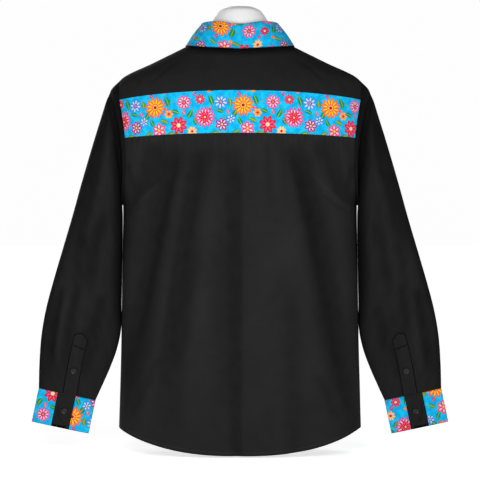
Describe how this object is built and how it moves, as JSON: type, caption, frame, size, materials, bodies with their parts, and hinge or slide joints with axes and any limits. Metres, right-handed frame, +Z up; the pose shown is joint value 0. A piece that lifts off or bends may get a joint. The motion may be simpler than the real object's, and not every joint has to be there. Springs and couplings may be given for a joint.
{
  "type": "ribbon shirt on a torso form",
  "caption": "Long-sleeved black button shirt with floral collar, cuffs and back band, on a smooth limbless torso form that stands on its own flat foot.",
  "frame": {"origin": "on the floor, in the middle of the torso form's flat foot", "axes": "+Z up; -Y is the shirt's front and +Y its back; +X is the wearer's left"},
  "size_m": [0.8038, 0.2246, 0.858],
  "materials": {
    "black_cotton": "plain-woven black cotton, matt",
    "floral_cotton": "printed cotton, flowers on turquoise, matt",
    "black_button": "black, polished",
    "pale_form": "pale grey, smooth, matt"
  },
  "bodies": {
    "root": {"torso_form": "pale_form", "back": "black_cotton", "yoke_band": "floral_cotton", "yoke": "black_cotton", "front_left": "black_cotton", "front_right": "black_cotton", "front_placket": "black_cotton", "button_front_1": "black_button", "button_front_2": "black_button", "button_front_3": "black_button", "button_front_4": "black_button", "button_front_5": "black_button", "button_front_6": "black_button", "button_front_7": "black_button", "button_stand": "black_button", "collar_stand": "black_cotton", "collar_leaf": "floral_cotton", "sleeve_left": "black_cotton", "sleeve_right": "black_cotton", "sleeve_placket_left": "black_cotton", "sleeve_placket_right": "black_cotton", "cuff_left": "floral_cotton", "cuff_right": "floral_cotton", "cuff_strip_left": "black_cotton", "cuff_strip_right": "black_cotton", "button_placket_left": "black_button", "button_placket_right": "black_button", "button_cuff_left": "black_button", "button_cuff_right": "black_button"}
  },
  "joints": []
}
